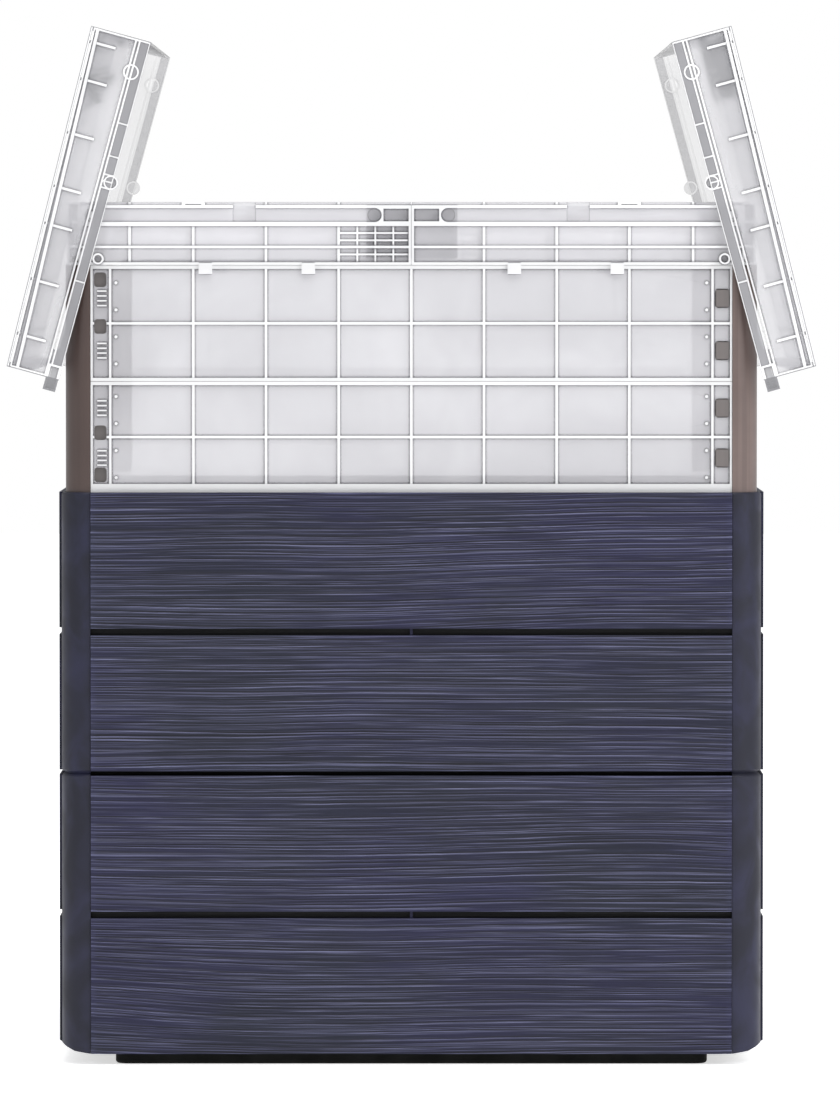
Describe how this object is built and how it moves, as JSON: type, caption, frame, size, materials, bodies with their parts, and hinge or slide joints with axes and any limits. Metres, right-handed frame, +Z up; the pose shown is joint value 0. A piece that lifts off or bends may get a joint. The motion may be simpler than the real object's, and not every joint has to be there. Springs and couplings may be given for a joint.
{
  "type": "cold frame",
  "caption": "Square raised planter bed with plank-look walls under a clear ribbed cold frame, whose clear skirted lids tilt up from level and stand open at the sides.",
  "frame": {"origin": "centre of the footprint on the ground", "axes": "+Z up, -Y towards the front, +X to the right seen from the front"},
  "size_m": [0.7188, 0.628, 0.9242],
  "materials": {
    "bed_plastic": "dark blue-grey moulded plastic with embossed wood grain",
    "tray_plastic": "black moulded plastic",
    "post_plastic": "taupe brown moulded plastic",
    "clear_plastic": "clear moulded plastic, slightly hazy"
  },
  "bodies": {
    "planter": {"base_tray": "tray_plastic", "lower_wall_front": "bed_plastic", "lower_wall_right": "bed_plastic", "lower_wall_back": "bed_plastic", "lower_wall_left": "bed_plastic", "lower_corner_front_left": "bed_plastic", "lower_corner_front_right": "bed_plastic", "lower_corner_back_right": "bed_plastic", "lower_corner_back_left": "bed_plastic", "upper_wall_front": "bed_plastic", "upper_wall_right": "bed_plastic", "upper_wall_back": "bed_plastic", "upper_wall_left": "bed_plastic", "upper_corner_front_left": "bed_plastic", "upper_corner_front_right": "bed_plastic", "upper_corner_back_right": "bed_plastic", "upper_corner_back_left": "bed_plastic", "tier_plugs": "tray_plastic", "post_front_left": "post_plastic", "post_front_right": "post_plastic", "post_back_right": "post_plastic", "post_back_left": "post_plastic", "lower_panel_front": "clear_plastic", "lower_panel_right": "clear_plastic", "lower_panel_back": "clear_plastic", "lower_panel_left": "clear_plastic", "upper_panel_front": "clear_plastic", "upper_panel_right": "clear_plastic", "upper_panel_back": "clear_plastic", "upper_panel_left": "clear_plastic", "top_rail_front_left": "clear_plastic", "top_rail_front_right": "clear_plastic", "top_rail_back_left": "clear_plastic", "top_rail_back_right": "clear_plastic", "top_rail_left": "clear_plastic", "top_rail_right": "clear_plastic", "joiner_front": "clear_plastic", "joiner_back": "clear_plastic", "frame_clips": "clear_plastic"},
    "left_runner": {"left_pivot_pins": "clear_plastic"},
    "left_cover": {"left_lid": "clear_plastic"},
    "right_runner": {"right_pivot_pins": "clear_plastic"},
    "right_cover": {"right_lid": "clear_plastic"}
  },
  "joints": [
    {"name": "left_lid_tilt", "type": "hinge", "parent": "planter", "child": "left_runner", "pos_m": [-0.2834, 0, 0.7565], "axis": [0, 1, 0], "range_deg": [0, 74.7]},
    {"name": "left_lid_slide", "type": "slide", "parent": "left_runner", "child": "left_cover", "axis": [0.2639, 0, 0.9646], "range_m": [0, 0.1208]},
    {"name": "right_lid_tilt", "type": "hinge", "parent": "planter", "child": "right_runner", "pos_m": [0.2834, 0, 0.7565], "axis": [0, -1, 0], "range_deg": [0, 74.7]},
    {"name": "right_lid_slide", "type": "slide", "parent": "right_runner", "child": "right_cover", "axis": [-0.2639, 0, 0.9646], "range_m": [0, 0.1208]}
  ]
}
